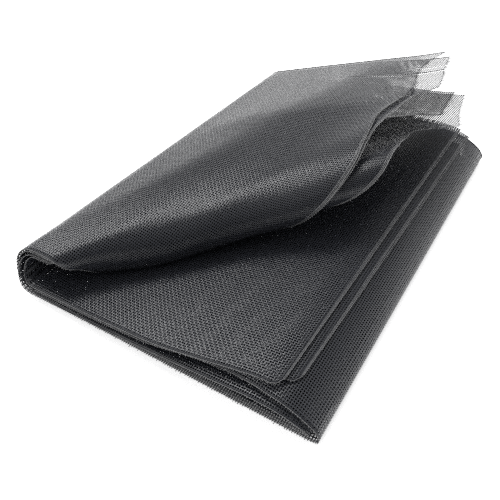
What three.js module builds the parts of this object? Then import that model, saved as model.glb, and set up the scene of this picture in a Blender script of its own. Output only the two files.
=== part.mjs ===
// A length of insect screen cloth, folded to and fro into a packet. Its top flap is lifted at the
// right like the cover of a book, and the flap's front corner is rolled under itself.
// The cloth is one strip: it is followed from one free end to the other, layer by layer and fold by
// fold, and given its thickness at the end. Millimetres and degrees, z up. While it is worked out,
// x runs along the packet's front edge from its left corner, and y runs back from that edge.
import * as THREE from "three";

// Driving dimensions
const THICKNESS = 1.0; // the cloth with its weave
const PITCH = 1.6; // between the middles of two layers that lie close
const DEPTH = 260; // the strip's width, from the front cut edge to the back one
const ROWS = 16; // steps across that width
const FLOOR_LAYER = THICKNESS / 2; // height of the middle of the lowest layer

// The line where the flap's upper layer leaves the left wall, and how the flap lies on it
const HINGE_FRONT = new THREE.Vector3(7.5, 8, 32.5);
const HINGE_BACK = new THREE.Vector3(22.7, 264, 21.7);
const FLAP_SLOPE = 22.3; // rise of the flap to the right
const FLAP_DEPTH = 256;

// The roll is a cone: lines of the cloth that meet at this point of the flat flap stay straight
const ROLL_POINT = { u: -52, v: -111 }; // from the hinge's front end, along and across the flap
const ROLL_START = 56.5; // angle, from u towards v, of the line where the cloth begins to bend
const ROLL_BENDS = [
  { cone: 11.4, turn: 15.5 }, // a soft bend first
  { cone: 4.23, turn: 172.5 }, // then round and under
];

// Where the flap's layers end at the right, and how far the lower pair hangs open
const UPPER_EDGE = { reach: 138, dip: 10, dipAt: 175, dipWidth: 24, steps: 2 };
const LOWER_EDGE = { reach: 156, back: 135, from: 125, to: 225, steps: 3 };
const LOWER_SEAT = 1.0; // extra space over the lower pair everywhere
const MOUTH = { drop: 24, reach: 150, from: 110, to: 215 }; // between the upper and the lower pair
const POCKET = { drop: 22, reach: 135, from: 200, to: 260 }; // inside the lower pair's fold

// The packet's arched layer: its height across the width, from the left end to its right fold
const ARCH = [
  { x: 0, z: 5.3 },
  { x: 50, z: 7.8 },
  { x: 85, z: 11.0 },
  { x: 115, z: 14.2 },
  { x: 140, z: 17.2 },
  { x: 155, z: 18.8 },
  { x: 163, z: 18.7 },
  { x: 169, z: 17.9 },
  { x: 176, z: 15.8 },
  { x: 182, z: 13.0 },
  { x: 187, z: 10.0 },
];
const SHORTEST_STEP = 2; // between an arched layer's last step and its right end
const FLAT_STEPS = [60, 115]; // x, on the layers that lie flat
const FLAP_STEP = 12; // along the flap's layers, as far as all of them reach
const FLAP_STEP_COUNT = 10;

// Right ends of the packet's layers at the front, and how much further right they end at the back
const OUTER_RIGHT = { front: 187, spread: 0 };
const INNER_RIGHT = { front: 172, spread: 0 };
const LOWER_TOP_RIGHT = { front: 173, spread: 7.0 };
const UPPER_TOP_RIGHT = { front: 167, spread: 6.0 };
// How far the cut front edge of the two top layers is drawn back at the right
const DRAWN_BACK = { from: 85, to: 173, lower: 17, upper: 11 };
const ARCH_SET_BACK = 1.5; // the arched layer's front edge
const OVER_ARCH = 1.9; // from the arch to each layer on it
const UNDER_ARCH = { left: PITCH, right: 3.5 }; // space below the arch for the layer inside it

// How far the wall folds at the left swell out, as a part of the outer fold's height
const WALL_SWELL = 0.415;
const WALL_PITCH = 1.7;
const LOOSE_SWELL = 0.6; // the least that an opening fold swells out
const INNER_FOLD_INSET = 5; // the small left fold starts this far inside the wall
const TUNNEL_INSET = 2;
const SWELL_OF_HANDLE = 0.75; // a cubic curve swells out by this part of its handles' length
const NEARBY = 0.05; // distance to the second point that gives a layer's direction

const radians = THREE.MathUtils.degToRad;

function eased(from, to, value) {
  return THREE.MathUtils.smoothstep(value, from, to);
}

// Height of a table of { x, z } rows, as a curve through them that keeps its slope at each row
function heightAt(rows, x) {
  const next = rows.findIndex((row) => row.x >= x);
  const i = next < 0 ? rows.length - 1 : Math.max(next, 1);
  const slope = (k) => {
    const a = rows[Math.max(k - 1, 0)];
    const b = rows[Math.min(k + 1, rows.length - 1)];
    return (b.z - a.z) / (b.x - a.x);
  };
  const [a, b] = [rows[i - 1], rows[i]];
  const span = b.x - a.x;
  const t = (x - a.x) / span;
  const rise = b.z - a.z;
  const ease = t * t * (3 - 2 * t);
  const start = t * (1 - t) * (1 - t) * span * slope(i - 1);
  const end = t * t * (1 - t) * span * slope(i);
  return a.z + rise * ease + start - end;
}

// The flap's own axes: across is along the hinge, along rises to the right, out is its upper side
const across = HINGE_BACK.clone().sub(HINGE_FRONT).normalize();
const rising = new THREE.Vector3(Math.cos(radians(FLAP_SLOPE)), 0, Math.sin(radians(FLAP_SLOPE)));
const along = rising.addScaledVector(across, -rising.dot(across)).normalize();
const rollPoint = HINGE_FRONT.clone()
  .addScaledVector(along, ROLL_POINT.u)
  .addScaledVector(across, ROLL_POINT.v);

// Direction of a line of the roll and the direction in which the cloth goes on from it, by the
// line's angle on the flat flap. Each bend is an arc of a small circle on the unit sphere.
function rollLine(angle) {
  const begin = Math.max(angle, radians(ROLL_START));
  const ray = along.clone().multiplyScalar(Math.cos(begin)).addScaledVector(across, Math.sin(begin));
  const onward = along.clone().multiplyScalar(Math.sin(begin)).addScaledVector(across, -Math.cos(begin));
  let left = begin - angle;
  for (const { cone, turn } of ROLL_BENDS) {
    const half = radians(cone);
    const step = Math.min(left / Math.sin(half), radians(turn));
    const out = onward.clone().cross(ray);
    const axis = ray.clone().multiplyScalar(Math.cos(half)).addScaledVector(out, -Math.sin(half));
    ray.applyAxisAngle(axis, step);
    onward.applyAxisAngle(axis, step);
    left -= step * Math.sin(half);
  }
  const flatAxis = onward.clone().cross(ray);
  ray.applyAxisAngle(flatAxis, -left);
  onward.applyAxisAngle(flatAxis, -left);
  return { ray, out: onward.clone().cross(ray) };
}

// A point of the flap: u from the hinge, v from the front edge, raised over the top layer's middle
function flapPoint(u, v, raised) {
  const du = u - ROLL_POINT.u;
  const dv = v - ROLL_POINT.v;
  const { ray, out } = rollLine(Math.atan2(dv, du));
  return rollPoint.clone().addScaledVector(ray, Math.hypot(du, dv)).addScaledVector(out, raised);
}

const mouth = (u, v) => MOUTH.drop * (u / MOUTH.reach) * eased(MOUTH.from, MOUTH.to, v);
const pocket = (u, v) => POCKET.drop * (u / POCKET.reach) * eased(POCKET.from, POCKET.to, v);

function upperEdge(v) {
  const away = (v - UPPER_EDGE.dipAt) / UPPER_EDGE.dipWidth;
  return UPPER_EDGE.reach - UPPER_EDGE.dip * Math.exp(-away * away);
}

const lowerEdge = (v) =>
  THREE.MathUtils.lerp(LOWER_EDGE.reach, LOWER_EDGE.back, eased(LOWER_EDGE.from, LOWER_EDGE.to, v));

// A layer of the flap: depth below the top layer at u and v, its right end, and its steps there
function flapLayer(below, rightEnd, endSteps) {
  const place = (u, q) => flapPoint(u, q * FLAP_DEPTH, -below(u, q * FLAP_DEPTH));
  const even = Array.from({ length: FLAP_STEP_COUNT + 1 }, (_, i) => FLAP_STEP * i);
  const last = FLAP_STEP * FLAP_STEP_COUNT;
  const stations = (q) => {
    const beyond = rightEnd(q * FLAP_DEPTH) - last;
    const tail = Array.from({ length: endSteps }, (_, i) => last + (beyond * (i + 1)) / endSteps);
    return [...even, ...tail];
  };
  return { place, stations };
}

// A layer of the packet below: its height at x, where it starts and ends, and its front set-back
function packetLayer(height, inset, right, steps, setBack) {
  const place = (x, q) => new THREE.Vector3(x, setBack(x) * (1 - q) + q * DEPTH, height(x));
  const stations = (q) => {
    const left = THREE.MathUtils.lerp(HINGE_FRONT.x, HINGE_BACK.x, q) + inset;
    return [left, ...steps, right.front + right.spread * q];
  };
  return { place, stations };
}

const arch = (x) => heightAt(ARCH, x);
const archSteps = (right) =>
  ARCH.map((row) => row.x).filter((x) => x > 0 && x < right.front - SHORTEST_STEP);
const underArch = (x) => {
  const share = eased(0, INNER_RIGHT.front, x);
  return arch(x) - THREE.MathUtils.lerp(UNDER_ARCH.left, UNDER_ARCH.right, share);
};
const drawnBack = (most) => (x) => most * eased(DRAWN_BACK.from, DRAWN_BACK.to, x);
const square = () => 0;
const archSetBack = () => ARCH_SET_BACK;

// The ten layers of the strip
const upperTop = packetLayer((x) => arch(x) + 2 * OVER_ARCH, TUNNEL_INSET, UPPER_TOP_RIGHT,
  archSteps(UPPER_TOP_RIGHT), drawnBack(DRAWN_BACK.upper));
const lowerTop = packetLayer((x) => arch(x) + OVER_ARCH, INNER_FOLD_INSET, LOWER_TOP_RIGHT,
  archSteps(LOWER_TOP_RIGHT), drawnBack(DRAWN_BACK.lower));
const archLayer = packetLayer(arch, INNER_FOLD_INSET, OUTER_RIGHT,
  archSteps(OUTER_RIGHT), archSetBack);
const insideArch = packetLayer(underArch, 0, INNER_RIGHT, archSteps(INNER_RIGHT), square);
const insideFloor = packetLayer(() => FLOOR_LAYER + PITCH, 0, INNER_RIGHT, FLAT_STEPS, square);
const floorLayer = packetLayer(() => FLOOR_LAYER, 0, OUTER_RIGHT, FLAT_STEPS, square);
const flapTop = flapLayer(() => 0, upperEdge, UPPER_EDGE.steps);
const flapSecond = flapLayer(() => PITCH, upperEdge, UPPER_EDGE.steps);
const flapThird = flapLayer((u, v) => 2 * PITCH + LOWER_SEAT + mouth(u, v),
  lowerEdge, LOWER_EDGE.steps);
const flapLowest = flapLayer((u, v) => 3 * PITCH + LOWER_SEAT + mouth(u, v) + pocket(u, v),
  lowerEdge, LOWER_EDGE.steps);

// The strip from one free end to the other. Each row is a layer, the way it runs, and the fold that
// leads to the next: how far it swells out beyond its ends, as a function of its height, and its steps.
const byHeight = (part) => (height) => part * height;
const opening = (part) => (height) => part * height + LOOSE_SWELL;
const wall = (place) => (height, outerHeight) => WALL_SWELL * outerHeight - place * WALL_PITCH;
const STRIP = [
  { layer: upperTop, toRight: false, swell: byHeight(0.4), steps: 6 },
  { layer: flapLowest, toRight: true, swell: opening(0.38), steps: 6 },
  { layer: flapThird, toRight: false, swell: wall(2), steps: 6 },
  { layer: insideArch, toRight: true, swell: byHeight(0.55), steps: 4 },
  { layer: insideFloor, toRight: false, swell: wall(1), steps: 6 },
  { layer: flapSecond, toRight: true, swell: byHeight(0.7), steps: 3 },
  { layer: flapTop, toRight: false, swell: wall(0), steps: 7 },
  { layer: floorLayer, toRight: true, swell: byHeight(0.6), steps: 5 },
  { layer: archLayer, toRight: false, swell: byHeight(0.7), steps: 3 },
  { layer: lowerTop, toRight: true },
];

// One crossing of the strip, at q of its width: its points, the way the cloth runs at each, and
// whether the point belongs to a stretch that runs to the right
function crossing(q) {
  const points = [];
  const outerHeight = THREE.MathUtils.lerp(HINGE_FRONT.z, HINGE_BACK.z, q) - FLOOR_LAYER;
  const layerEnd = ({ layer, toRight }, atStart) => {
    const stations = layer.stations(q);
    const right = toRight !== atStart;
    const x = right ? stations[stations.length - 1] : stations[0];
    const inward = right ? -NEARBY : NEARBY;
    const point = layer.place(x, q);
    const way = layer.place(x + inward, q).sub(point).multiplyScalar(atStart ? 1 : -1).normalize();
    return { point, way };
  };
  STRIP.forEach((row, i) => {
    const { layer, toRight } = row;
    const stations = layer.stations(q);
    const ordered = toRight ? stations : [...stations].reverse();
    const sense = toRight ? NEARBY : -NEARBY;
    for (const x of ordered) {
      const way = layer.place(x + sense, q).sub(layer.place(x - sense, q)).normalize();
      points.push({ point: layer.place(x, q), way, toRight });
    }
    if (!row.swell) return;
    const from = layerEnd(row, false);
    const to = layerEnd(STRIP[i + 1], true);
    const handle = row.swell(from.point.distanceTo(to.point), outerHeight) / SWELL_OF_HANDLE;
    const fold = new THREE.CubicBezierCurve3(
      from.point,
      from.point.clone().addScaledVector(from.way, handle),
      to.point.clone().addScaledVector(to.way, -handle),
      to.point,
    );
    for (let k = 1; k < row.steps; k += 1) {
      const t = k / row.steps;
      points.push({ point: fold.getPoint(t), way: fold.getTangent(t), toRight });
    }
  });
  return points;
}

// The closed sheet: both faces of the strip, half the thickness to each side, and its four rims
function sheetGeometry() {
  const lines = Array.from({ length: ROWS + 1 }, (_, j) => crossing(j / ROWS));
  const count = lines[0].length;
  const faceSize = count * (ROWS + 1);
  const positions = new Float32Array(faceSize * 2 * 3);
  const index = [];
  const at = (i, j, face) => face * faceSize + j * count + i;
  for (let j = 0; j <= ROWS; j += 1) {
    const before = lines[Math.max(j - 1, 0)];
    const after = lines[Math.min(j + 1, ROWS)];
    for (let i = 0; i < count; i += 1) {
      const { point, way } = lines[j][i];
      const widthWay = after[i].point.clone().sub(before[i].point);
      const normal = way.clone().cross(widthWay).normalize();
      for (const face of [0, 1]) {
        const side = (face === 0 ? 0.5 : -0.5) * THICKNESS;
        point.clone().addScaledVector(normal, side).toArray(positions, 3 * at(i, j, face));
      }
    }
  }
  const quad = (a, b, c, d) => index.push(a, b, c, a, c, d);
  for (let j = 0; j < ROWS; j += 1) {
    for (let i = 0; i < count - 1; i += 1) {
      const [a, b, c, d] = [at(i, j, 0), at(i + 1, j, 0), at(i + 1, j + 1, 0), at(i, j + 1, 0)];
      const [e, f, g, h] = [at(i, j, 1), at(i + 1, j, 1), at(i + 1, j + 1, 1), at(i, j + 1, 1)];
      // Layers that lie close have their squares split along the same diagonal
      if (lines[j][i].toRight) {
        index.push(a, b, c, a, c, d, e, g, f, e, h, g);
      } else {
        index.push(a, b, d, b, c, d, e, h, f, f, h, g);
      }
    }
    quad(at(0, j, 0), at(0, j + 1, 0), at(0, j + 1, 1), at(0, j, 1));
    quad(at(count - 1, j + 1, 0), at(count - 1, j, 0), at(count - 1, j, 1), at(count - 1, j + 1, 1));
  }
  for (let i = 0; i < count - 1; i += 1) {
    quad(at(i + 1, 0, 0), at(i, 0, 0), at(i, 0, 1), at(i + 1, 0, 1));
    quad(at(i, ROWS, 0), at(i + 1, ROWS, 0), at(i + 1, ROWS, 1), at(i, ROWS, 1));
  }
  const geometry = new THREE.BufferGeometry();
  geometry.setAttribute("position", new THREE.BufferAttribute(positions, 3));
  geometry.setIndex(index);
  return geometry;
}

// The packet is centred over its own box and stands on z = 0
const geometry = sheetGeometry();
geometry.computeBoundingBox();
const { min, max } = geometry.boundingBox;
geometry.translate(-(min.x + max.x) / 2, -(min.y + max.y) / 2, -min.z);
geometry.computeVertexNormals();

const coatedYarn = new THREE.MeshStandardMaterial({ color: 0x45474b, roughness: 0.5, metalness: 0 });
const screenCloth = new THREE.Mesh(geometry, coatedYarn);
screenCloth.name = "screen_cloth";

const packet = new THREE.Group();
packet.add(screenCloth);
export default packet;
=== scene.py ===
"""A packet of charcoal insect screen cloth on a pale floor.

The cloth is three lengths of one strip of open plain weave, folded to and fro together. Each is followed
from one free end to the other as a grid of points: the first parameter runs along the strip, the second
across its width, from the front cut edge to the back one. The shapes are worked out in millimetres, from
the packet's front left corner on the floor. They go into the meshes in metres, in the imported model's frame.
"""
from typing import Callable, NamedTuple, Optional

import bpy
import numpy as np
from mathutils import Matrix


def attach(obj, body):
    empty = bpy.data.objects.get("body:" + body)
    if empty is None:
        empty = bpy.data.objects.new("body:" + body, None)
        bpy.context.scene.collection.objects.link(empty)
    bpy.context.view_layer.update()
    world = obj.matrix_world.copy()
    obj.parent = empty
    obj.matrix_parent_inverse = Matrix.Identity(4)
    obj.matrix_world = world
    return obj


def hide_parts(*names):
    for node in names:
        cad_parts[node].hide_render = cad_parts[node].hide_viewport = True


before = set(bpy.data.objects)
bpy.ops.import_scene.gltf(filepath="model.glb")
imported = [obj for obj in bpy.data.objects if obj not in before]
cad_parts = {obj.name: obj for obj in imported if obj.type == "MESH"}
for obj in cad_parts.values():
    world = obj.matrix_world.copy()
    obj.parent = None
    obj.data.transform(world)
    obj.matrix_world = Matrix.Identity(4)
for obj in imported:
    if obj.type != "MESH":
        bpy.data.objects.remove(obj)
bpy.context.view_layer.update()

MM = 0.001
FRONT_LEFT_CORNER = np.array([-93.56, -131.68, 0.0])  # of the packet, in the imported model's frame

# The cloth
DEPTH = 260.0  # the strip's width
FRONT_ROWS = 66  # steps across it
BACK_ROWS = 44  # finer steps, at the loosened back
BACK_FROM = 0.7  # where the finer steps begin, as a part of the width
SHEET = 0.3  # between the cloth's two faces
PITCH = 1.6  # between two layers that lie close
LENGTHWISE_PITCH = 1.411  # between the yarns that run from front to back
CROSSWISE_PITCH = 1.6  # between the yarns that run along the strip
YARN = 0.53  # width of a coated yarn
SLACK_LOSS = 0.37  # part of its width that a yarn seems to lose where the weave has gone slack

# Finishes
YARN_COLOUR = (0.031, 0.033, 0.04, 1.0)
YARN_ROUGHNESS = 0.22
WEAVE_BUMP = 0.18
PAINTED_HIGHLIGHT_GREY = (0.3, 0.3, 0.3, 1.0)  # painted highlight: the grey that cut ends pale to towards their tips, and edge yarns along their length, where light catches them
CUT_ROUGHNESS = 0.45
FLOOR_COLOUR = (0.9, 0.9, 0.9, 1.0)
FLOOR_ROUGHNESS = 0.8
# painted light: the floor's glow around the packet, which washes out shadows
FLOOR_PAINTED_LIGHT = 0.6
WHITE = (1.0, 1.0, 1.0, 1.0)

# The floor, and the sides of the part under the packet, which doesn't glow, so that it keeps a painted shadow
FLOOR_HALF = 3000.0
COVER_LEFT = -10.0  # at the front
COVER_RIGHT = 193.0
COVER_FRONT = 0.5
COVER_BACK = 262.0
COVER_FADE = 6.0

# The lifted flap, hinged on the left wall
HINGE_FRONT = np.array([7.5, 8.0, 32.5])
HINGE_BACK = np.array([22.7, 264.0, 21.7])
FLAP_SLOPE = np.radians(22.3)
FLAP_DEPTH = 256.0

# The roll under the flap's front corner: a cone around a point of the flat flap. Its bends are rows of a
# cone's half angle and the turn on it. The roll is small at its left end, then wide, and tight at the right
ROLL_POINT = (-52.0, -111.0)
WIDE_START = np.radians(69.0)
TIGHT_START = np.radians(56.5)
SMALL_BENDS = np.radians([(17.3, 13.8), (28.0, 11.0), (2.6, 163.2)])
WIDE_BENDS = np.radians([(17.3, 13.8), (28.0, 16.5), (4.5, 157.7)])
TIGHT_BENDS = np.radians([(11.4, 15.5), (4.23, 172.5)])
WIDENS_FROM = 0.0  # these four are distances from the hinge
WIDE_BY = 79.0
TIGHTENS_FROM = 60.0
TIGHT_BY = 170.0

# Right ends of the flap's layers, in rows of distance from the front edge and from the hinge
TOP_EDGE = np.array([
    (0, 138), (125, 138), (146, 134.5), (161, 131.7), (172, 129.5), (181, 132), (196, 140), (206, 139),
    (227, 132.6), (242, 133.5), (256, 139)])
SECOND_EDGE = np.array([
    (0, 139.5), (125, 139.5), (150, 135.5), (164, 135), (179, 139), (194, 144.6), (198.5, 156.5),
    (206, 156), (232, 148), (256, 141.5)])
THIRD_EDGE = np.array([
    (0, 140), (120, 138.5), (128, 136.5), (146, 130.2), (166, 123.2), (180, 120), (184, 120.5),
    (188, 125), (191, 132), (195, 140), (200, 146), (208, 148), (227, 146), (256, 142)])
LOWEST_EDGE = np.array([
    (0, 160), (120, 160.5), (130, 160), (148, 155), (165, 147), (180, 141.5), (196, 140), (200, 148),
    (204, 163), (212, 161), (227, 155.6), (256, 148.6)])

# The gap between the flap's two upper layers and its two lower ones
LOWER_SEAT = 1.0  # where they lie close
MOUTH_DROP = 24.0  # how far the gap opens at the reach, counted from the hinge
MOUTH_REACH = 150.0
MOUTH_FROM = 110.0  # counted from the front edge, as the next three are
MOUTH_TO = 215.0
HALF_OPEN_TO = 185.0
FULLY_OPEN_FROM = 225.0
HALF_OPEN = 0.45  # the third layer's part of the gap, before it is fully open

# Loosened back right corners, where the weave has gone slack, by distance from the hinge and the front edge
SLACK_FROM = 102.0
SLACK_TO = 136.0
SLACK_BACK_FROM = 184.0
SLACK_BACK_TO = 204.0
LOWER_SLACK = 20.0  # how much further from the hinge the two lower layers loosen

# The top layer's curled back right corner
CURL_RISE = 2.0
CURL_FROM = 85.0
CURL_TO = 140.0
CURL_BACK_FROM = 212.0

# A soft ridge of the flap, from the left wall to the right edge
RIDGE_RISE = 2.5
RIDGE_AT = 149.0  # from the front edge, at the hinge
RIDGE_SLOPE = 0.38
RIDGE_FRONT = 22.0  # how wide it is before its crest
RIDGE_BACK = 45.0  # and behind it
RIDGE_FROM = -5.0  # where it fades in, from the hinge
RIDGE_TO = 45.0

# Heights of the packet's layers
FLOOR_LAYER = 0.5
ARCH = np.array([
    (0, 5.3), (50, 7.8), (85, 11), (115, 14.2), (140, 17.2), (155, 18.8), (163, 18.7), (169, 18.5),
    (176, 17.2), (182, 15), (187, 12.2)])
OVER_ARCH = 1.9  # from the arched layer to the next one up
UNDER_ARCH_LEFT = 1.6  # from the arched layer down to the one inside it
UNDER_ARCH_RIGHT = 3.5
MEASURE_STEPS = 400  # steps in which a layer is measured

# Their right ends at the front, and how much further right they are at the back
OUTER_RIGHT = 187.0
INNER_RIGHT = 178.0
INNER_SPREAD = 8.0
INNER_SPREAD_BY = 0.14  # the part of the depth over which the inner layers spread
LOWER_TOP_RIGHT = 173.0
LOWER_TOP_SPREAD = 7.0
UPPER_TOP_RIGHT = 167.0
UPPER_TOP_SPREAD = 6.0

# Their front edges, and the one back edge that lies past the strip's width
FLOOR_FRONT = 1.7
SECOND_FLOOR_FRONT = 2.4
UNDER_ARCH_FRONT = -1.0
UNDER_ARCH_BACK = 4.0
ARCH_FRONT = 1.5
ARCH_BOW = 4.0  # how much further back the arched layer's front edge is in the middle of its bow
ARCH_BOW_AT = 135.0
ARCH_BOW_WIDTH = 32.0
DRAWN_LOWER = 14.5  # how far the two top layers' front edges are drawn back at the right
DRAWN_UPPER = 7.6
DRAWN_FROM = 85.0
DRAWN_TO = 173.0
CORNER_ROUND = 6.0  # of the top layers' front right corners

# The folds: how far each stands out, as a part of its height, and how far some lie inside the left wall
TUNNEL_SWELL = 0.4
INSIDE_SWELL = 0.85
RIGHT_SWELL = 0.5
INNER_FOLD_SWELL = 0.7
WALL_SWELL = 0.415
WALL_PITCH = 1.1  # how much less each next layer of the left wall stands out
TUNNEL_INSET = 2.0
INNER_FOLD_INSET = 5.0
SWELL_OF_HANDLE = 0.75  # a cubic curve swells out by this part of its handles
NEARBY = 0.05  # a distance too small to see

# Slits of the flap's two top layers, where crosswise yarns are drawn apart, in rows of how far back each is,
# half its widest gap, and where along the flap it begins and is at its widest
SLITS = [
    (143 * CROSSWISE_PITCH, 4.0, 60.0, 130.0),
    (148 * CROSSWISE_PITCH, 2.2, 90.0, 138.0),
]
SECOND_SLITS = 3 * CROSSWISE_PITCH  # how much further back they are in the second layer

# Close yarns along a free end, and the last yarn along a cut edge
EDGE_YARN = 0.46  # thickness
EDGE_YARNS = 3  # how many lie close at a free end
EDGE_PITCH = 0.8
EDGE_LOSS = 1.0  # part of its thickness that an edge yarn loses where the weave has gone slack
EDGE_PAINTED_HIGHLIGHT = 0.6  # painted highlight on the packet's edge yarns: how pale they are
FLAP_EDGE_PAINTED_HIGHLIGHT = 0.9  # painted highlight on the flap's edge yarns, which is stronger
FLAP_EDGE_FROM = 30.0  # heights between which the one eases into the other
FLAP_EDGE_TO = 50.0

# Frayed yarn ends along the cut edges and the free ends
FLOOR_END = 0.9  # mean length along a cut edge on the floor
RAISED_END = 0.6  # mean length along a raised cut edge
FREE_END = 0.6  # mean length along a free end
LOOSE_END = 1.4  # mean length along a free end that has gone slack
FLOOR_END_BELOW = 2.5  # height up to which a cut edge counts as on the floor
RAISED_END_ABOVE = 4.0  # height from which it counts as raised
FRAY_EVENNESS = 14.0  # of their lengths
FRAY_STEPS = 4
FRAY_ROOT = 0.6  # how far inside the edge an end starts
FRAY_WANDER = 0.08  # sideways bend, as a part of the end's length
FRAY_DROOP = 0.1  # downward bend, as a part of the end's length
FRAY_SHARE = 0.85  # thickness at the root, as a part of the yarn's width
FRAY_TIP = 0.7  # thickness at the tip, as a part of that at the root
FRAY_FLOOR = 0.25  # no end lies lower than this
FRAY_SEED = 18
TUBE_SIDES = 4

# Soft light: an even sky, and soft boxes as rows of azimuth from the back towards the right and height above
# the floor, both in degrees, strength and focus
EVEN_SKY = 0.22
SOFT_BOXES = [
    (45, 8, 2.1, 8),
    (316, 7, 0.5, 60),
    (327, 14, 2.1, 60),
    (302, 60, 13.0, 60),
    (292, 27, 14.0, 160),
    (330, 66, 2.5, 50),
    (225, 35, 1.5, 8),
    (0, 90, 0.6, 6),
]

# The picture: a pinhole camera fitted to the photograph, and enough bounces for sight through all the layers
CAMERA_PLACE = np.array([241.4, -142.9, 283.2])
CAMERA_AZIMUTH = np.radians(31.1)
CAMERA_ELEVATION = np.radians(45.2)
SENSOR = 36.0
FOCAL_SHARE = 638.0 / 500.0  # focal length over the width of the picture
SIGHT_BOUNCES = 48
PIXEL_FILTER = 1.2


def smooth(start, end, value):
    """0 before start, 1 after end, and a cubic ease between them."""
    share = np.clip((value - start) / (end - start), 0.0, 1.0)
    return share * share * (3.0 - 2.0 * share)


def mixed(a, b, share):
    """The value that lies share of the way from a to b."""
    return a + (b - a) * share


def unit(vectors):
    """The vectors, each divided by its length."""
    return vectors / np.linalg.norm(vectors, axis=-1, keepdims=True)


def turned(vectors, axes, angles):
    """Each vector turned about its own unit axis: the part along the axis stays, the rest goes round."""
    cosine = np.cos(angles)[..., None]
    sine = np.sin(angles)[..., None]
    along_axis = axes * np.sum(axes * vectors, axis=-1, keepdims=True)
    return along_axis + (vectors - along_axis) * cosine + np.cross(axes, vectors) * sine


def through(rows, at):
    """A curve through the rows of a table: a cubic between each two rows, with each row's slope taken from
    its neighbours."""
    places, values = rows.T
    spans = np.diff(places)
    wide = np.concatenate([spans[:1], spans[:-1] + spans[1:], spans[-1:]])
    ends = np.diff(values)
    slopes = np.concatenate([ends[:1], values[2:] - values[:-2], ends[-1:]]) / wide
    i = np.clip(np.searchsorted(places, at) - 1, 0, len(spans) - 1)
    t = (at - places[i]) / spans[i]
    ease = t * t * (3.0 - 2.0 * t)
    leaving = t * (1.0 - t) ** 2 * spans[i] * slopes[i]
    arriving = t * t * (1.0 - t) * spans[i] * slopes[i + 1]
    return mixed(values[i], values[i + 1], ease) + leaving - arriving


# The flap's own axes: across runs along the hinge, along rises to the right
ACROSS = unit(HINGE_BACK - HINGE_FRONT)
RISING = np.array([np.cos(FLAP_SLOPE), 0.0, np.sin(FLAP_SLOPE)])
ALONG = unit(RISING - ACROSS * (RISING @ ACROSS))
ROLL_TIP = HINGE_FRONT + ROLL_POINT[0] * ALONG + ROLL_POINT[1] * ACROSS


def roll_lines(angles, start, bends):
    """Directions of a roll's straight lines, and of the cloth's upper side along them.

    A line is named by its angle on the flat flap. Past the start the line's direction goes round a small
    circle on the unit sphere for each bend, by as much as its angle has gone past, and then runs on flat.
    """
    begin = np.maximum(angles, start)
    rays = np.cos(begin)[..., None] * ALONG + np.sin(begin)[..., None] * ACROSS
    onward = np.sin(begin)[..., None] * ALONG - np.cos(begin)[..., None] * ACROSS
    left = begin - angles
    for half, most in bends:
        step = np.minimum(left / np.sin(half), most)
        axes = np.cos(half) * rays - np.sin(half) * np.cross(onward, rays)
        rays = turned(rays, axes, step)
        onward = turned(onward, axes, step)
        left = left - step * np.sin(half)
    upward = np.cross(onward, rays)
    return turned(rays, upward, -left), upward


def ridge(u, v):
    """Height of a soft ridge along a straight line of the flap. It fades in from the hinge, and falls off
    to both sides, faster in front, as one over one plus the square of the distance."""
    away = v - RIDGE_AT - RIDGE_SLOPE * u
    away = away / np.where(away < 0.0, RIDGE_FRONT, RIDGE_BACK)
    return RIDGE_RISE * smooth(RIDGE_FROM, RIDGE_TO, u) / (1.0 + away * away)


def flap_point(u, v, below):
    """A point of the flap: u from the hinge and v from the front edge on the flat cloth, carried along its
    straight line of the small roll, the wide one, the tight one or a mixture of them, and then moved below
    the top layer against the cloth's upper side."""
    du = u - ROLL_POINT[0]
    dv = v - ROLL_POINT[1]
    angles = np.arctan2(dv, du)
    small = roll_lines(angles, WIDE_START, SMALL_BENDS)
    wide = roll_lines(angles, WIDE_START, WIDE_BENDS)
    tight = roll_lines(angles, TIGHT_START, TIGHT_BENDS)
    widened = smooth(WIDENS_FROM, WIDE_BY, u)[..., None]
    tightened = smooth(TIGHTENS_FROM, TIGHT_BY, u)[..., None]
    rays, upward = (mixed(mixed(a, b, widened), c, tightened) for a, b, c in zip(small, wide, tight))
    raised = ridge(u, v) - below
    return ROLL_TIP + np.hypot(du, dv)[..., None] * rays + raised[..., None] * unit(upward)


def mouth(u, v):
    """Gap below the flap's two upper layers: it grows to the right and towards the back."""
    return MOUTH_DROP * u / MOUTH_REACH * smooth(MOUTH_FROM, MOUTH_TO, v)


def top_depth(u, v):
    """Depth of the top layer: none, but it rises at its curled corner, eased in both ways."""
    return -CURL_RISE * smooth(CURL_FROM, CURL_TO, u) * smooth(CURL_BACK_FROM, FLAP_DEPTH, v)


def second_depth(u, v):
    """Depth of the second layer, which lies close under the top one."""
    return PITCH + 0.0 * u


def third_depth(u, v):
    """Depth of the third layer, which hangs in the middle of the gap, and eases to its floor at the back."""
    part = mixed(HALF_OPEN, 1.0, smooth(HALF_OPEN_TO, FULLY_OPEN_FROM, v))
    return 2 * PITCH + LOWER_SEAT + mouth(u, v) * part


def lowest_depth(u, v):
    """Depth of the lowest layer, on the floor of the gap."""
    return 3 * PITCH + LOWER_SEAT + mouth(u, v)


def slack(u, v):
    """How loose the weave is: 1 in the back right corner of the flap, eased to 0 away from it."""
    return smooth(SLACK_FROM, SLACK_TO, u) * smooth(SLACK_BACK_FROM, SLACK_BACK_TO, v)


def nowhere(distance, q):
    """0 all over, for a layer without slits or without slack."""
    return 0.0 * (distance + q)


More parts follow.
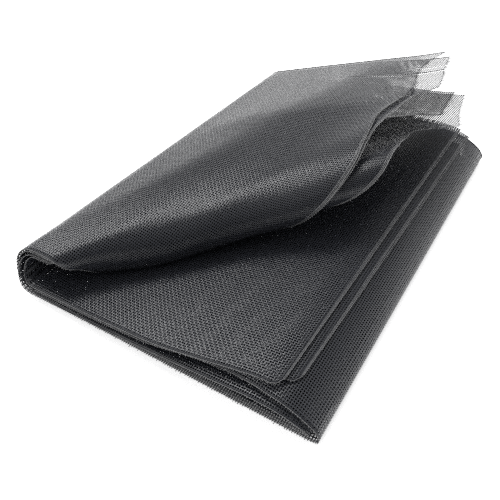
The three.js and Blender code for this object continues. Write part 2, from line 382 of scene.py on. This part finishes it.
def slits(further_back):
    """Shift of the count of crosswise yarns beside the slits. At a distance from a slit the count falls short
    by the distance times the squared half gap, over the sum of both squares, so it hardly moves inside the
    gap."""

    def shift(u, q):
        total = nowhere(u, q)
        for at, half_gap, begin, widest in SLITS:
            gap = half_gap * smooth(begin, widest, u)
            away = q * DEPTH - at - further_back
            total = total - away * gap**2 / (away**2 + gap**2 + NEARBY**2) / CROSSWISE_PITCH
        return total

    return shift


def floor_layer(x):
    """Height of the layer on the floor."""
    return FLOOR_LAYER + 0.0 * x


def second_floor(x):
    """Height of the layer on top of the floor layer."""
    return FLOOR_LAYER + PITCH + 0.0 * x


def arch(x):
    """Height of the arched layer."""
    return through(ARCH, x)


def under_arch(x):
    """Height of the layer inside the arch, which lies lower at the right."""
    return arch(x) - mixed(UNDER_ARCH_LEFT, UNDER_ARCH_RIGHT, smooth(0.0, INNER_RIGHT, x))


def lower_top(x):
    """Height of the lower one of the two layers over the arch."""
    return arch(x) + OVER_ARCH


def upper_top(x):
    """Height of the upper one of the two layers over the arch."""
    return arch(x) + 2 * OVER_ARCH


def straight_front(place):
    """A straight front edge."""

    def front(x):
        return place + 0.0 * x

    return front


def bowed_front(x):
    """The arched layer's front edge, set back in a bell curve over x."""
    return ARCH_FRONT + ARCH_BOW * np.exp(-(((x - ARCH_BOW_AT) / ARCH_BOW_WIDTH) ** 2))


def drawn_front(far, corner):
    """A top layer's front edge: it eases back towards the right, and ends in a quarter circle."""

    def front(x):
        past = np.clip(x - corner + CORNER_ROUND, 0.0, CORNER_ROUND)
        rounded = CORNER_ROUND - np.sqrt(CORNER_ROUND**2 - past**2)
        return far * smooth(DRAWN_FROM, DRAWN_TO, x) + rounded

    return front


class Layer(NamedTuple):
    """One run of the strip: its points by distance and depth, its ends, its weave and its next fold. The
    distance is counted from the left, and q is the depth as a part of the strip's width."""

    place: Callable  # (distance, q) to points
    left: Callable  # q to the distance at its left end
    right: Callable  # q to the distance at its right end
    measure: Callable  # distance to length of cloth
    loose: Callable  # (distance, q) to how slack the weave is
    parted: Callable  # (distance, q) to the shift of the crosswise count
    to_right: bool  # whether the strip runs to the right along it
    steps: int
    swell: Optional[Callable] = None  # (fold's height, left wall's height) to how far the fold stands out
    fold_steps: int = 0

    def run_length(self, distance):
        """Length of cloth, counted the way the strip runs."""
        return self.measure(distance) * (1.0 if self.to_right else -1.0)


def flap_layer(below, edge, parted=nowhere, slack_shift=0.0, **run):
    """A layer of the flap, at a depth below its top layer, from the hinge to a right edge given by a table.
    Its weave loosens further from the hinge by the shift given."""

    def place(u, q):
        v = q * FLAP_DEPTH
        return flap_point(u, v, below(u, v))

    def right(q):
        return through(edge, q * FLAP_DEPTH)

    def measure(u):
        return u

    def loose(u, q):
        return slack(u - slack_shift, q * FLAP_DEPTH)

    return Layer(place, np.zeros_like, right, measure, loose, parted, **run)


def packet_layer(height, front, right_end, spread=0.0, spread_by=1.0, inset=0.0, past_back=0.0, **run):
    """A layer of the packet: a height and a front edge over x, from the left wall, or an inset from it, to a
    right end. The right end moves out by the spread over a part of the depth, and then runs straight back.
    The back edge may lie past the strip's width."""
    table = np.linspace(0.0, OUTER_RIGHT + LOWER_TOP_SPREAD, MEASURE_STEPS)
    lengths = np.concatenate([[0.0], np.cumsum(np.hypot(np.diff(table), np.diff(height(table))))])

    def place(x, q):
        return np.stack([x, mixed(front(x), DEPTH + past_back, q), height(x)], axis=-1)

    def left(q):
        return mixed(HINGE_FRONT[0], HINGE_BACK[0], q) + inset

    def right(q):
        return right_end + spread * np.minimum(q / spread_by, 1.0)

    def measure(x):
        return np.interp(x, table, lengths)

    return Layer(place, left, right, measure, nowhere, nowhere, **run)


def by_height(part):
    """Swell of a fold that stands out by a part of its own height."""

    def swell(height, wall_height):
        return part * height

    return swell


def in_wall(number):
    """Swell of a fold of the left wall, by its number from the outside: the outer one stands out by a part of
    the wall's height, and each next one by a step less."""

    def swell(height, wall_height):
        return WALL_SWELL * wall_height - number * WALL_PITCH

    return swell


# The three lengths, each from one free end to the other
INNERMOST_CLOTH = [
    packet_layer(
        upper_top, drawn_front(DRAWN_UPPER, UPPER_TOP_RIGHT), UPPER_TOP_RIGHT, UPPER_TOP_SPREAD,
        inset=TUNNEL_INSET, to_right=False, steps=64, swell=by_height(TUNNEL_SWELL), fold_steps=14),
    flap_layer(lowest_depth, LOWEST_EDGE, slack_shift=LOWER_SLACK, to_right=True, steps=72),
]
INNER_CLOTH = [
    flap_layer(
        third_depth, THIRD_EDGE, slack_shift=LOWER_SLACK,
        to_right=False, steps=72, swell=in_wall(2), fold_steps=14),
    packet_layer(
        under_arch, straight_front(UNDER_ARCH_FRONT), INNER_RIGHT, INNER_SPREAD, INNER_SPREAD_BY,
        past_back=UNDER_ARCH_BACK, to_right=True, steps=40, swell=by_height(INSIDE_SWELL), fold_steps=10),
    packet_layer(
        second_floor, straight_front(SECOND_FLOOR_FRONT), INNER_RIGHT, INNER_SPREAD, INNER_SPREAD_BY,
        to_right=False, steps=24, swell=in_wall(1), fold_steps=14),
    flap_layer(second_depth, SECOND_EDGE, slits(SECOND_SLITS), to_right=True, steps=64),
]
OUTER_CLOTH = [
    flap_layer(
        top_depth, TOP_EDGE, slits(0.0),
        to_right=False, steps=64, swell=in_wall(0), fold_steps=18),
    packet_layer(
        floor_layer, straight_front(FLOOR_FRONT), OUTER_RIGHT,
        to_right=True, steps=40, swell=by_height(RIGHT_SWELL), fold_steps=12),
    packet_layer(
        arch, bowed_front, OUTER_RIGHT, inset=INNER_FOLD_INSET,
        to_right=False, steps=72, swell=by_height(INNER_FOLD_SWELL), fold_steps=8),
    packet_layer(
        lower_top, drawn_front(DRAWN_LOWER, LOWER_TOP_RIGHT), LOWER_TOP_RIGHT, LOWER_TOP_SPREAD,
        inset=INNER_FOLD_INSET, to_right=True, steps=72),
]
CLOTHS = {
    "innermost_screen": INNERMOST_CLOTH,
    "inner_screen": INNER_CLOTH,
    "outer_screen": OUTER_CLOTH,
}


def depth_shares():
    """Where the rows lie across the strip's width, from 0 at the front cut edge to 1 at the back one."""
    front = np.linspace(0.0, BACK_FROM, FRONT_ROWS, endpoint=False)
    return np.concatenate([front, np.linspace(BACK_FROM, 1.0, BACK_ROWS + 1)])


def layer_end(layer, q, at_start):
    """A layer's end points, the way the strip runs there, and the length of cloth at them."""
    rightmost = layer.to_right != at_start
    distance = layer.right(q) if rightmost else layer.left(q)
    inward = -NEARBY if rightmost else NEARBY
    points = layer.place(distance, q)
    way = layer.place(distance + inward, q) - points
    return points, unit(way if at_start else -way), layer.run_length(distance)


def fold_between(layer, following, q):
    """Cubic curves from one layer's end to the next one's start. Their handles run along the layers and
    are as long as makes the curve stand out by the layer's swell."""
    start, start_way, _ = layer_end(layer, q, False)
    end, end_way, _ = layer_end(following, q, True)
    wall_height = mixed(HINGE_FRONT[2], HINGE_BACK[2], q) - FLOOR_LAYER
    swell = layer.swell(np.linalg.norm(end - start, axis=-1), wall_height)
    handle = (swell / SWELL_OF_HANDLE)[:, None]
    corners = [start, start + handle * start_way, end - handle * end_way, end]
    t = (np.arange(1, layer.fold_steps) / layer.fold_steps)[:, None, None]
    weights = [(1 - t) ** 3, 3 * t * (1 - t) ** 2, 3 * t * t * (1 - t), t**3]
    return sum(weight * corner for weight, corner in zip(weights, corners))


def strip_grid(strip, q):
    """A whole length on a grid of runs by rows: its points, the length of cloth up to each, how slack the
    weave is there, and the shift of its crosswise count.

    A layer's cloth is measured along the layer. A fold takes up what lies between its two layers, and the
    layers are set apart so that this is the fold's own length at the middle of the strip's width.
    """
    points, lengths, looseness, parting = [], [], [], []
    reached = 0.0
    middle = len(q) // 2
    for layer, following in zip(strip, [*strip[1:], None]):
        t = np.linspace(0.0, 1.0, layer.steps + 1)[:, None]
        share = t if layer.to_right else 1.0 - t
        distance = mixed(layer.left(q), layer.right(q), share)
        rows = q + 0.0 * distance
        length = layer.run_length(distance)
        length = length + reached - length[0].mean()
        points.append(layer.place(distance, rows))
        lengths.append(length)
        looseness.append(layer.loose(distance, rows))
        parting.append(layer.parted(distance, rows))
        if following is None:
            break
        fold = fold_between(layer, following, q)
        next_points, _, next_length = layer_end(following, q, True)
        bends = np.concatenate([points[-1][-1:], fold, next_points[None]])
        reached = length[-1].mean() + np.linalg.norm(np.diff(bends[:, middle], axis=0), axis=-1).sum()
        next_length = next_length + reached - next_length.mean()
        t = (np.arange(1, layer.fold_steps) / layer.fold_steps)[:, None]
        points.append(fold)
        lengths.append(mixed(length[-1], next_length, t))
        looseness.append(looseness[-1][-1] + 0.0 * t)
        parting.append(parting[-1][-1] + 0.0 * t)
    return tuple(np.concatenate(runs) for runs in (points, lengths, looseness, parting))


def grid_normals(grid):
    """Upper side of the strip at each point: across the ways in which its two parameters run."""
    return unit(np.cross(np.gradient(grid, axis=0), np.gradient(grid, axis=1)))


def thin_sheet(grid, thickness):
    """Both faces of the strip, half its thickness to each side, and the rims that close it."""
    runs, rows = grid.shape[:2]
    lift = grid_normals(grid) * thickness[..., None] / 2
    points = np.concatenate([(grid + lift).reshape(-1, 3), (grid - lift).reshape(-1, 3)])
    number = np.arange(runs * rows).reshape(runs, rows)
    top = np.stack([number[:-1, :-1], number[1:, :-1], number[1:, 1:], number[:-1, 1:]], axis=-1)
    under = top[..., ::-1] + runs * rows
    rim = np.concatenate([number[:, 0], number[-1, 1:], number[-2::-1, -1], number[0, -2:0:-1]])
    following = np.roll(rim, -1)
    sides = np.stack([rim + runs * rows, following + runs * rows, following, rim], axis=-1)
    return points, np.concatenate([top.reshape(-1, 4), under.reshape(-1, 4), sides])


def yarn_tubes(paths, radii, asides):
    """Tubes along paths, given as arrays of yarn by step by place. At each step a square of corners lies
    across the path, with one corner on the side given for it, and both ends are capped."""
    count, steps = paths.shape[:2]
    ways = unit(np.gradient(paths, axis=1))
    upward = unit(np.cross(ways, asides))
    aside = np.cross(upward, ways)
    square = np.stack([aside, upward, -aside, -upward], axis=2)
    points = paths[:, :, None] + radii[..., None, None] * square
    number = np.arange(count * steps * TUBE_SIDES).reshape(count, steps, TUBE_SIDES)
    beside = np.roll(number, -1, axis=2)
    walls = np.stack([number[:, :-1], beside[:, :-1], beside[:, 1:], number[:, 1:]], axis=-1)
    caps = np.concatenate([number[:, 0, ::-1], number[:, -1]])
    return points.reshape(-1, 3), np.concatenate([walls.reshape(-1, 4), caps])


def frayed_ends(edge, inward, counts, reach, width, rng):
    """Cut yarn ends that stand out from an edge of the cloth: their paths, radii, sides, and the part of its
    length at each step.

    An end starts a little inside the edge, where its count on the weave's map is a whole number and a half.
    It is a part of the yarn's width thick, and tapers. It leads straight out, about as far as the reach given
    along the edge, and bends aside and down by amounts drawn at random, more on longer ends.
    """
    at = np.arange(np.ceil(counts.min() - 0.5), np.floor(counts.max() - 0.5) + 1) + 0.5
    order = np.argsort(counts)
    known = np.column_stack([edge, inward, np.gradient(edge, axis=0), reach, width])[order]
    found = np.stack([np.interp(at, counts[order], column) for column in known.T], axis=-1)[:, None]
    roots, inward_there, along_there, reach_there, width_there = np.split(found, [3, 6, 9, 10], axis=-1)
    length = reach_there * rng.gamma(FRAY_EVENNESS, 1.0 / FRAY_EVENNESS, (len(at), 1, 1))
    t = np.linspace(0.0, 1.0, FRAY_STEPS)[None, :, None] * np.ones((len(at), 1, 1))
    bend = rng.normal(0.0, FRAY_WANDER, (len(at), 1, 3)) - FRAY_DROOP * np.array([0.0, 0.0, 1.0])
    paths = roots + unit(-inward_there) * mixed(-FRAY_ROOT, length, t) + bend * length * t * t
    paths[..., 2] = np.maximum(paths[..., 2], FRAY_FLOOR)
    part = t[..., 0]
    radii = width_there[..., 0] / 2 * FRAY_SHARE * mixed(1.0, FRAY_TIP, part**2)
    return paths, radii, unit(along_there) + 0.0 * paths, part


def edge_yarns(grid, looseness):
    """The close yarns along a free end of the strip: lines from front to back at even steps in from the end,
    which thin out where the weave is slack."""
    inward = unit(grid[1] - grid[0])
    steps = np.arange(EDGE_YARNS)[:, None, None] * EDGE_PITCH
    paths = grid[0] + inward * steps
    radii = EDGE_YARN / 2 * (1.0 - EDGE_LOSS * looseness[0]) * np.ones((EDGE_YARNS, 1))
    return paths, radii, inward + 0.0 * paths


def last_yarns(grid):
    """The last yarn along each of the two cut edges."""
    inward = np.gradient(grid, axis=1)
    paths = np.stack([grid[:, 0], grid[:, -1]])
    radii = np.full(paths.shape[:2], EDGE_YARN / 2)
    return paths, radii, np.stack([inward[:, 0], inward[:, -1]])


def joined(*meshes):
    """Points and faces of several meshes as one."""
    starts = np.cumsum([0] + [len(points) for points, _ in meshes[:-1]])
    faces = [faces + start for (_, faces), start in zip(meshes, starts)]
    return np.concatenate([points for points, _ in meshes]), np.concatenate(faces)


def mesh_object(name, points, faces, material):
    """A smooth-shaded object from points in millimetres and faces."""
    mesh = bpy.data.meshes.new(name)
    mesh.from_pydata((points + FRONT_LEFT_CORNER) * MM, [], faces.tolist())
    mesh.polygons.foreach_set("use_smooth", np.ones(len(faces), dtype=bool))
    mesh.materials.append(material)
    piece = bpy.data.objects.new(name, mesh)
    bpy.context.collection.objects.link(piece)
    return piece


def set_attribute(piece, name, values):
    """Gives each vertex a number for the material."""
    attribute = piece.data.attributes.new(name, "FLOAT", "POINT")
    attribute.data.foreach_set("value", values.astype(np.float32))


def set_weave_map(piece, counts):
    """Gives each vertex's two counts of yarns to the corners of the faces around it."""
    mesh = piece.data
    corners = np.empty(len(mesh.loops), dtype=np.int32)
    mesh.loops.foreach_get("vertex_index", corners)
    weave_map = mesh.uv_layers.new(name="weave")
    weave_map.data.foreach_set("uv", counts[corners].astype(np.float32).ravel())


class Graph:
    """Fills the node tree of a material or a sky. An input is a number, a colour or another node's output."""

    def __init__(self, owner):
        owner.use_nodes = True
        self.tree = owner.node_tree
        self.tree.nodes.clear()

    def node(self, kind, inputs=None, **settings):
        """A new node with its settings and inputs."""
        made = self.tree.nodes.new(kind)
        for key, value in settings.items():
            setattr(made, key, value)
        for key, value in (inputs or {}).items():
            if isinstance(value, bpy.types.NodeSocket):
                self.tree.links.new(value, made.inputs[key])
            else:
                made.inputs[key].default_value = value
        return made

    def maths(self, operation, *values):
        """The result of a sum on numbers and outputs."""
        return self.node("ShaderNodeMath", dict(enumerate(values)), operation=operation).outputs[0]


def weave_material():
    """Open plain weave of coated yarn. The map counts yarns both ways, and a yarn lies in the middle of each
    count. Across itself a yarn is rounded as half an ellipse, and along itself it waves as a cosine, over one
    yarn and under the next. The surface has the higher yarn's height, and between the yarns are holes."""
    material = bpy.data.materials.new("charcoal_weave")
    g = Graph(material)
    weave_map = g.node("ShaderNodeUVMap", uv_map="weave").outputs[0]
    counts = g.node("ShaderNodeSeparateXYZ", {0: weave_map}).outputs
    width = g.node("ShaderNodeAttribute", attribute_name="yarn_width").outputs["Fac"]
    wholes, rounds, waves, present = [], [], [], []
    for count, pitch in zip(counts, (LENGTHWISE_PITCH, CROSSWISE_PITCH)):
        half_width = g.maths("DIVIDE", width, 2 * pitch)
        whole = g.maths("FLOOR", count)
        offset = g.maths("SUBTRACT", g.maths("SUBTRACT", count, whole), 0.5)
        part = g.maths("DIVIDE", offset, half_width)
        inside = g.maths("SUBTRACT", 1.0, g.maths("MULTIPLY", part, part))
        rounded = g.maths("SQRT", g.maths("MAXIMUM", inside, 0.0))
        wholes.append(whole)
        rounds.append(g.maths("MULTIPLY", rounded, YARN / 2 * MM))
        waves.append(g.maths("COSINE", g.maths("MULTIPLY", offset, np.pi)))
        present.append(g.maths("LESS_THAN", g.maths("ABSOLUTE", offset), half_width))
    odd = g.maths("MODULO", g.maths("ADD", *wholes), 2.0)
    side = g.maths("SUBTRACT", g.maths("MULTIPLY", odd, 2.0), 1.0)
    lift = g.maths("MULTIPLY", side, YARN / 2 * MM)
    lengthwise = g.maths("ADD", rounds[0], g.maths("MULTIPLY", lift, waves[1]))
    crosswise = g.maths("SUBTRACT", rounds[1], g.maths("MULTIPLY", lift, waves[0]))
    heights = [
        g.maths("MULTIPLY", g.maths("ADD", height, YARN * MM), there)
        for height, there in zip((lengthwise, crosswise), present)
    ]
    bump = g.node("ShaderNodeBump", {
        "Height": g.maths("MAXIMUM", *heights), "Distance": 1.0, "Strength": WEAVE_BUMP})
    yarn = g.node("ShaderNodeBsdfPrincipled", {
        "Base Color": YARN_COLOUR, "Roughness": YARN_ROUGHNESS, "Normal": bump.outputs[0]})
    hole = g.node("ShaderNodeBsdfTransparent")
    surface = g.node("ShaderNodeMixShader", {
        0: g.maths("MAXIMUM", *present), 1: hole.outputs[0], 2: yarn.outputs[0]})
    g.node("ShaderNodeOutputMaterial", {"Surface": surface.outputs[0]})
    return material


def highlighted_yarn_material():
    """Coated yarn that pales with the square of a number given to each vertex: a painted highlight, growing
    towards a cut end's tip and set along the edge yarns, where light catches them.
    """
    material = bpy.data.materials.new("yarn_with_painted_highlight")
    g = Graph(material)
    tip = g.node("ShaderNodeAttribute", attribute_name="tip").outputs["Fac"]
    # painted highlight, paler towards the tips
    pale = g.maths("POWER", tip, 2.0)
    colour = g.node("ShaderNodeMix", {"Factor": pale, "A": YARN_COLOUR, "B": PAINTED_HIGHLIGHT_GREY}, data_type="RGBA")
    yarn = g.node("ShaderNodeBsdfPrincipled", {
        "Base Color": colour.outputs["Result"], "Roughness": CUT_ROUGHNESS})
    g.node("ShaderNodeOutputMaterial", {"Surface": yarn.outputs[0]})
    return material


def floor_material():
    """Pale paint with a glow, a painted light that washes shadows out around the packet. Under the packet it
    does not glow, which leaves a painted shadow there, and the left side there runs along the left wall."""
    material = bpy.data.materials.new("pale_floor")
    g = Graph(material)
    place = g.node("ShaderNodeTexCoord").outputs["Object"]
    from_corner = g.node("ShaderNodeVectorMath", {0: place, 1: FRONT_LEFT_CORNER * MM}, operation="SUBTRACT")
    across, backward, _ = g.node("ShaderNodeSeparateXYZ", {0: from_corner.outputs[0]}).outputs
    lean = (HINGE_BACK[0] - HINGE_FRONT[0]) / DEPTH
    from_wall = g.maths("SUBTRACT", across, g.maths("MULTIPLY", backward, lean))
    # 1 under the packet, where the glow is left out as a painted shadow, easing to 0 around it
    painted_shadow_share = 1.0
    for distance, side, fade in (
        (from_wall, COVER_LEFT, COVER_FADE),
        (across, COVER_RIGHT, -COVER_FADE),
        (backward, COVER_FRONT, COVER_FADE),
        (backward, COVER_BACK, -COVER_FADE),
    ):
        share = g.node("ShaderNodeMapRange", {
            "Value": distance, "From Min": side * MM, "From Max": (side + fade) * MM})
        painted_shadow_share = g.maths("MULTIPLY", painted_shadow_share, share.outputs[0])
    glow = g.maths("MULTIPLY", g.maths("SUBTRACT", 1.0, painted_shadow_share), FLOOR_PAINTED_LIGHT)
    paint = g.node("ShaderNodeBsdfPrincipled", {
        "Base Color": FLOOR_COLOUR, "Roughness": FLOOR_ROUGHNESS, "Emission Color": WHITE,
        "Emission Strength": glow})
    g.node("ShaderNodeOutputMaterial", {"Surface": paint.outputs[0]})
    return material


def studio_sky():
    """Sky light: each soft box adds its strength times the cosine of the angle from its middle, to the power
    of its focus."""
    sky = bpy.data.worlds.new("studio")
    g = Graph(sky)
    direction = g.node("ShaderNodeTexCoord").outputs["Generated"]
    strength = EVEN_SKY
    for azimuth, height, power, focus in SOFT_BOXES:
        azimuth = np.radians(azimuth)
        height = np.radians(height)
        middle = (np.cos(height) * np.sin(azimuth), np.cos(height) * np.cos(azimuth), np.sin(height))
        cosine = g.node("ShaderNodeVectorMath", {0: direction, 1: middle}, operation="DOT_PRODUCT")
        near = g.maths("POWER", g.maths("MAXIMUM", cosine.outputs["Value"], 0.0), focus)
        strength = g.maths("MULTIPLY_ADD", near, power, strength)
    background = g.node("ShaderNodeBackground", {"Color": WHITE, "Strength": strength})
    g.node("ShaderNodeOutputWorld", {"Surface": background.outputs[0]})
    return sky


def make_length(name, strip, rng, weave, yarn_with_painted_highlight):
    """One length of cloth with its frayed ends and its edge yarns, as three pieces on the root body."""
    depth_share = depth_shares()
    grid, cloth_length, looseness, parting = strip_grid(strip, depth_share)
    full = 1.0 - SLACK_LOSS * looseness
    yarn_width = YARN * full
    lengthwise_count = cloth_length / LENGTHWISE_PITCH
    crosswise_count = depth_share * DEPTH / CROSSWISE_PITCH + parting
    counts = np.stack([lengthwise_count, crosswise_count], axis=-1).reshape(-1, 2)
    cloth = mesh_object(name, *thin_sheet(grid, SHEET * full), weave)
    set_weave_map(cloth, np.tile(counts, (2, 1)))
    set_attribute(cloth, "yarn_width", np.tile(yarn_width.ravel(), 2))

    inward = np.gradient(grid, axis=1)
    onward = np.gradient(grid, axis=0)
    cut_reach = mixed(FLOOR_END, RAISED_END, smooth(FLOOR_END_BELOW, RAISED_END_ABOVE, grid[..., 2]))
    free_reach = mixed(FREE_END, LOOSE_END, looseness)
    frays = []
    for row, sign in ((0, 1.0), (-1, -1.0)):
        frays.append(frayed_ends(
            grid[:, row], sign * inward[:, row], lengthwise_count[:, row], cut_reach[:, row],
            yarn_width[:, row], rng))
    for run, sign in ((0, 1.0), (-1, -1.0)):
        frays.append(frayed_ends(
            grid[run], sign * onward[run], crosswise_count[run], free_reach[run], yarn_width[run], rng))
    paths, radii, asides, tips = (np.concatenate(arrays) for arrays in zip(*frays))
    fray = mesh_object(name + "_ends", *yarn_tubes(paths, radii, asides), yarn_with_painted_highlight)
    # painted highlight on each end, growing towards its tip
    set_attribute(fray, "tip", np.repeat(tips.ravel(), TUBE_SIDES))

    edge_points, edge_faces = joined(
        yarn_tubes(*edge_yarns(grid, looseness)),
        yarn_tubes(*edge_yarns(grid[::-1], looseness[::-1])),
        yarn_tubes(*last_yarns(grid)),
    )
    edging = mesh_object(name + "_edges", edge_points, edge_faces, yarn_with_painted_highlight)
    # painted highlight along the edge yarns, eased from the packet's to the flap's by height
    on_flap = smooth(FLAP_EDGE_FROM, FLAP_EDGE_TO, edge_points[:, 2])
    set_attribute(edging, "tip", mixed(EDGE_PAINTED_HIGHLIGHT, FLAP_EDGE_PAINTED_HIGHLIGHT, on_flap))

    for piece in (cloth, fray, edging):
        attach(piece, "root")
    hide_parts("screen_cloth")


def make_floor():
    """A wide square of pale floor."""
    points = FLOOR_HALF * np.array([(-1.0, -1.0, 0.0), (1.0, -1.0, 0.0), (1.0, 1.0, 0.0), (-1.0, 1.0, 0.0)])
    mesh_object("floor", points, np.array([[0, 1, 2, 3]]), floor_material())


def make_camera():
    """The camera, with its lens set by the picture's width."""
    camera_data = bpy.data.cameras.new("camera")
    camera_data.sensor_width = SENSOR
    camera_data.lens = FOCAL_SHARE * SENSOR
    camera = bpy.data.objects.new("camera", camera_data)
    camera.location = (CAMERA_PLACE + FRONT_LEFT_CORNER) * MM
    camera.rotation_euler = (np.pi / 2 - CAMERA_ELEVATION, 0.0, CAMERA_AZIMUTH)
    bpy.context.collection.objects.link(camera)
    return camera


fray_rng = np.random.default_rng(FRAY_SEED)
charcoal_weave = weave_material()
highlighted_yarn = highlighted_yarn_material()
for length_name, length_layers in CLOTHS.items():
    make_length(length_name, length_layers, fray_rng, charcoal_weave, highlighted_yarn)
make_floor()

scene = bpy.context.scene
scene.world = studio_sky()
scene.camera = make_camera()
scene.view_settings.view_transform = "Standard"
scene.cycles.transparent_max_bounces = SIGHT_BOUNCES
scene.cycles.use_denoising = False
scene.cycles.filter_width = PIXEL_FILTER
